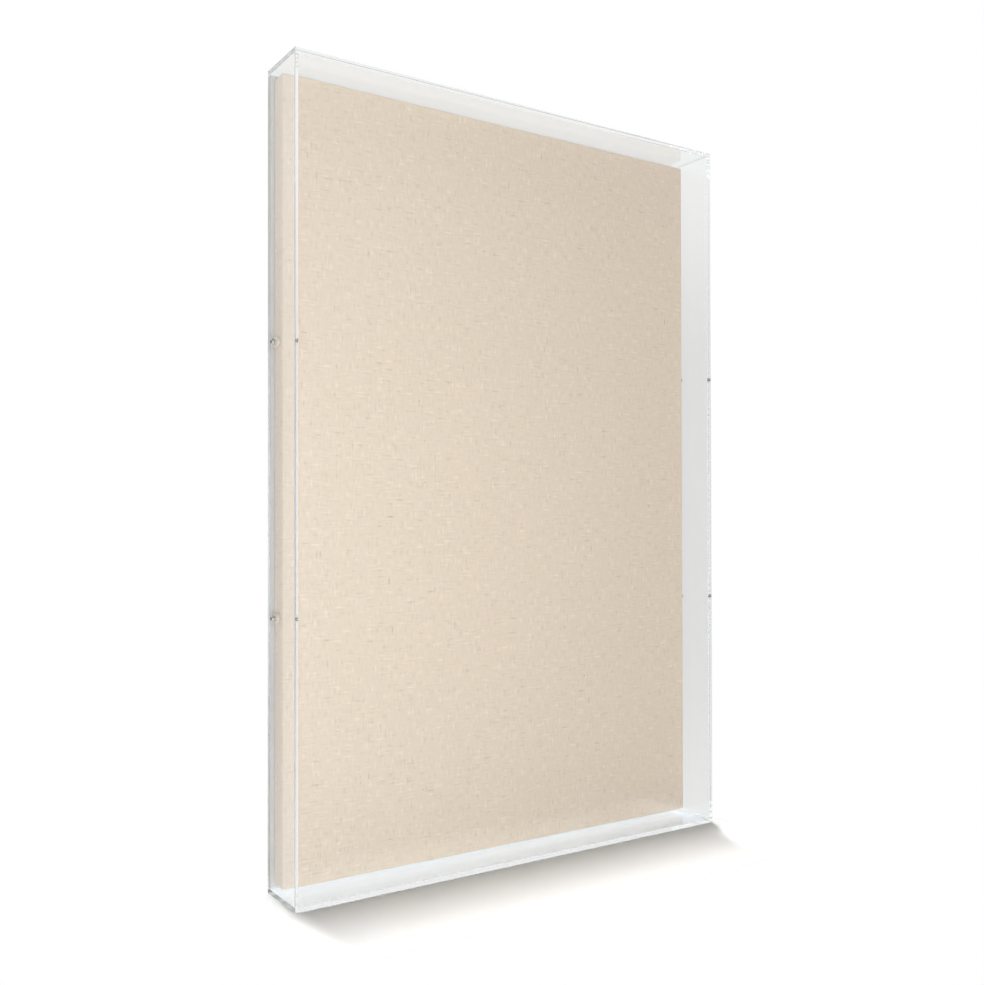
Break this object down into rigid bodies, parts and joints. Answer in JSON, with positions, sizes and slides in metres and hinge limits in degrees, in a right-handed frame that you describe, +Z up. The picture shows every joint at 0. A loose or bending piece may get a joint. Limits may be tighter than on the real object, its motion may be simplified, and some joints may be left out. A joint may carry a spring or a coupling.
{
  "type": "acrylic shadow box",
  "caption": "Clear five-sided acrylic cover over a linen-wrapped slab with an even reveal, held by side screws and closed by a back plate with ring hangers.",
  "frame": {"origin": "on the surface that the box stands on, in the middle of its overall width and depth", "axes": "+Z up; the clear front faces -Y and the hangers are at +Y; +X is to the right seen from the front"},
  "size_m": [0.6144, 0.0824, 0.9144],
  "materials": {
    "clear_acrylic": "polished, clear",
    "steel": "bright nickel plate",
    "nylon": "natural nylon",
    "linen": "plain-woven natural linen",
    "board": "grey board",
    "pine": "planed, bare",
    "hardboard": "white-faced hardboard",
    "rubber": "matte"
  },
  "bodies": {
    "box": {"front_panel": "clear_acrylic", "left_wall": "clear_acrylic", "right_wall": "clear_acrylic", "top_wall": "clear_acrylic", "bottom_wall": "clear_acrylic", "left_upper_spacer": "nylon", "left_lower_spacer": "nylon", "right_upper_spacer": "nylon", "right_lower_spacer": "nylon", "linen_wrap": "linen", "mount_board": "board", "top_rail": "pine", "bottom_rail": "pine", "left_rail": "pine", "right_rail": "pine", "cross_brace": "pine", "corner_block_top_left": "pine", "corner_block_top_right": "pine", "corner_block_bottom_left": "pine", "corner_block_bottom_right": "pine", "back_plate": "hardboard", "back_screw_left_upper": "steel", "back_screw_left_lower": "steel", "back_screw_right_upper": "steel", "back_screw_right_lower": "steel", "back_screw_top_left": "steel", "back_screw_top_right": "steel", "back_screw_bottom_left": "steel", "back_screw_bottom_right": "steel", "left_hanger_strap": "steel", "left_hanger_screw_upper": "steel", "left_hanger_screw_lower": "steel", "right_hanger_strap": "steel", "right_hanger_screw_upper": "steel", "right_hanger_screw_lower": "steel", "bumper_top_left": "rubber", "bumper_top_right": "rubber", "bumper_bottom_left": "rubber", "bumper_bottom_right": "rubber"},
    "left_upper_screw": {"left_upper_screw": "steel"},
    "left_lower_screw": {"left_lower_screw": "steel"},
    "right_upper_screw": {"right_upper_screw": "steel"},
    "right_lower_screw": {"right_lower_screw": "steel"},
    "left_ring": {"left_hanger_ring": "steel"},
    "right_ring": {"right_hanger_ring": "steel"}
  },
  "joints": [
    {"name": "left_upper_screw_draw", "type": "slide", "parent": "box", "child": "left_upper_screw", "axis": [-1, 0, 0], "range_m": [0, 0.03]},
    {"name": "left_lower_screw_draw", "type": "slide", "parent": "box", "child": "left_lower_screw", "axis": [-1, 0, 0], "range_m": [0, 0.03]},
    {"name": "right_upper_screw_draw", "type": "slide", "parent": "box", "child": "right_upper_screw", "axis": [1, 0, 0], "range_m": [0, 0.03]},
    {"name": "right_lower_screw_draw", "type": "slide", "parent": "box", "child": "right_lower_screw", "axis": [1, 0, 0], "range_m": [0, 0.03]},
    {"name": "left_ring_swing", "type": "hinge", "parent": "box", "child": "left_ring", "pos_m": [-0.2724, 0.0379, 0.6864], "axis": [1, 0, 0], "range_deg": [0, 180]},
    {"name": "right_ring_swing", "type": "hinge", "parent": "box", "child": "right_ring", "pos_m": [0.2724, 0.0379, 0.6864], "axis": [1, 0, 0], "range_deg": [0, 180]}
  ]
}
